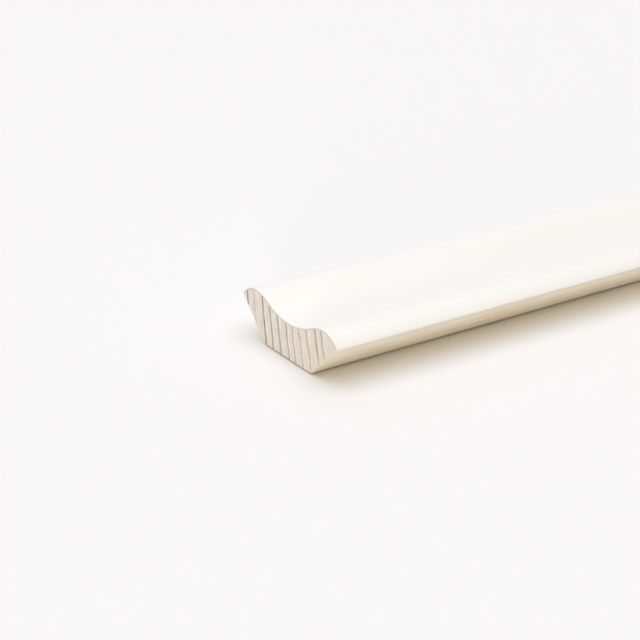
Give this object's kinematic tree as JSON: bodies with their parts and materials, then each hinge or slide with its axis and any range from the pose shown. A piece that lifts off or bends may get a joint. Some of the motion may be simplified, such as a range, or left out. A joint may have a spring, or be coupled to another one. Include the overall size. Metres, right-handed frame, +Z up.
{
  "type": "corner moulding",
  "caption": "Straight softwood corner moulding: coved white-painted face between rounded crests, flat back and 45-degree bearing faces, used as skirting or cornice.",
  "frame": {"origin": "centre of the flat back, which lies on the floor, at the middle of the length", "axes": "+X along the length and the grain, +Y across the moulding, +Z up out of the back towards the moulded face"},
  "size_m": [2.4, 0.045, 0.0148],
  "materials": {
    "painted_pine": "warm white satin paint on the moulded face; back, bearing faces and sawn ends are bare pine"
  },
  "bodies": {
    "root": {"corner_moulding": "painted_pine"}
  },
  "joints": []
}
